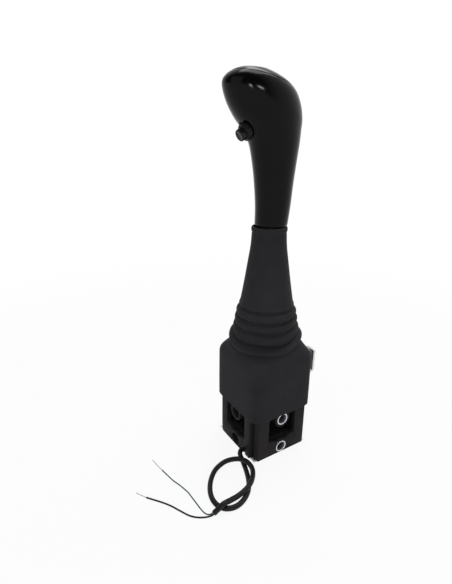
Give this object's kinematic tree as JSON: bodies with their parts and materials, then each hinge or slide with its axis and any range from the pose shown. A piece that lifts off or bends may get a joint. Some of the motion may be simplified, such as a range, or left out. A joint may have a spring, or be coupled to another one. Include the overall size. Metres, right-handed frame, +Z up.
{
  "type": "cable-control joystick",
  "caption": "Two-axis cable-control joystick with square housing, gimbal, rubber boot, palm grip, push-button and a short two-core lead.",
  "frame": {"origin": "middle of the housing's bottom edge, on the surface it stands on", "axes": "+Z up along the lever at rest, -Y towards the push-button and the grip's nose, +Y towards the brake tab"},
  "size_m": [0.0945, 0.1879, 0.3143],
  "materials": {
    "housing_black": "satin",
    "zinc": "satin",
    "steel": "satin",
    "bright": "polished",
    "bronze": "satin",
    "boot_rubber": "matte",
    "lead_black": "satin",
    "wire_green": "satin",
    "wire_black": "satin",
    "connector": "matte",
    "grip_black": "semi-gloss",
    "cap_black": "semi-gloss",
    "button_black": "semi-gloss",
    "switch_red": "satin"
  },
  "bodies": {
    "housing": {"housing": "housing_black", "cable_plate": "steel", "plate_screws": "zinc", "threaded_inserts": "bright", "ring_bushes": "bronze", "bail_bushes": "bronze", "boot": "boot_rubber", "brake_pin": "steel", "lead_grommet": "lead_black", "inner_lead": "lead_black", "lead_connector": "connector", "lead_cable": "lead_black", "wire_green": "wire_green", "wire_black": "wire_black"},
    "gimbal": {"gimbal_ring": "steel", "ring_trunnions": "steel", "ring_fork_pin": "zinc"},
    "fork_x": {"ring_fork": "zinc"},
    "bail": {"bail": "steel", "bail_trunnions": "steel", "bail_fork_pin": "zinc"},
    "fork_y": {"bail_fork": "zinc"},
    "lever": {"lever_hub": "steel", "hub_pin": "steel", "lever_tail": "steel", "lever_tube": "steel", "tube_jam_nut": "zinc", "grip_shell": "grip_black", "grip_cap": "cap_black", "cap_pins": "grip_black", "grip_set_screw": "steel", "button_barrel": "button_black", "button_bezel": "button_black", "button_switch": "switch_red", "switch_leads": "wire_green", "button_spring": "steel"},
    "button": {"button_plunger": "button_black"},
    "brake": {"brake_lever": "zinc"}
  },
  "joints": [
    {"name": "tilt_fore_aft", "type": "hinge", "parent": "housing", "child": "gimbal", "pos_m": [0, 0, 0.068], "axis": [1, 0, 0], "range_deg": [-18, 18], "stiffness_Nm_per_rad": 3, "deforming": ["boot"]},
    {"name": "tilt_side", "type": "hinge", "parent": "gimbal", "child": "lever", "pos_m": [0, 0, 0.068], "axis": [0, 1, 0], "range_deg": [-18, 18], "stiffness_Nm_per_rad": 3},
    {"name": "bail_swing", "type": "hinge", "parent": "housing", "child": "bail", "pos_m": [0, 0, 0.068], "axis": [0, 1, 0], "range_deg": [-18, 18]},
    {"name": "fork_x_hang", "type": "hinge", "parent": "gimbal", "child": "fork_x", "pos_m": [0.0184, 0.012, 0.068], "axis": [1, 0, 0], "range_deg": [-18, 18]},
    {"name": "fork_y_hang", "type": "hinge", "parent": "bail", "child": "fork_y", "pos_m": [-0.012, -0.0184, 0.068], "axis": [0, 1, 0], "range_deg": [-18, 18]},
    {"name": "button_press", "type": "slide", "parent": "lever", "child": "button", "axis": [0, 0.8829, 0.4695], "range_m": [0, 0.0018], "stiffness_N_per_m": 900, "springref_m": -0.002, "deforming": ["button_spring"]},
    {"name": "brake_swing", "type": "hinge", "parent": "housing", "child": "brake", "pos_m": [0, 0.0275, 0.0553], "axis": [-1, 0, 0], "range_deg": [0, 14]}
  ],
  "couplings": [
    {"joint": "bail_swing", "follows": "tilt_side", "ratio": 1},
    {"joint": "fork_x_hang", "follows": "tilt_fore_aft", "ratio": -1},
    {"joint": "fork_y_hang", "follows": "tilt_side", "ratio": -1}
  ]
}
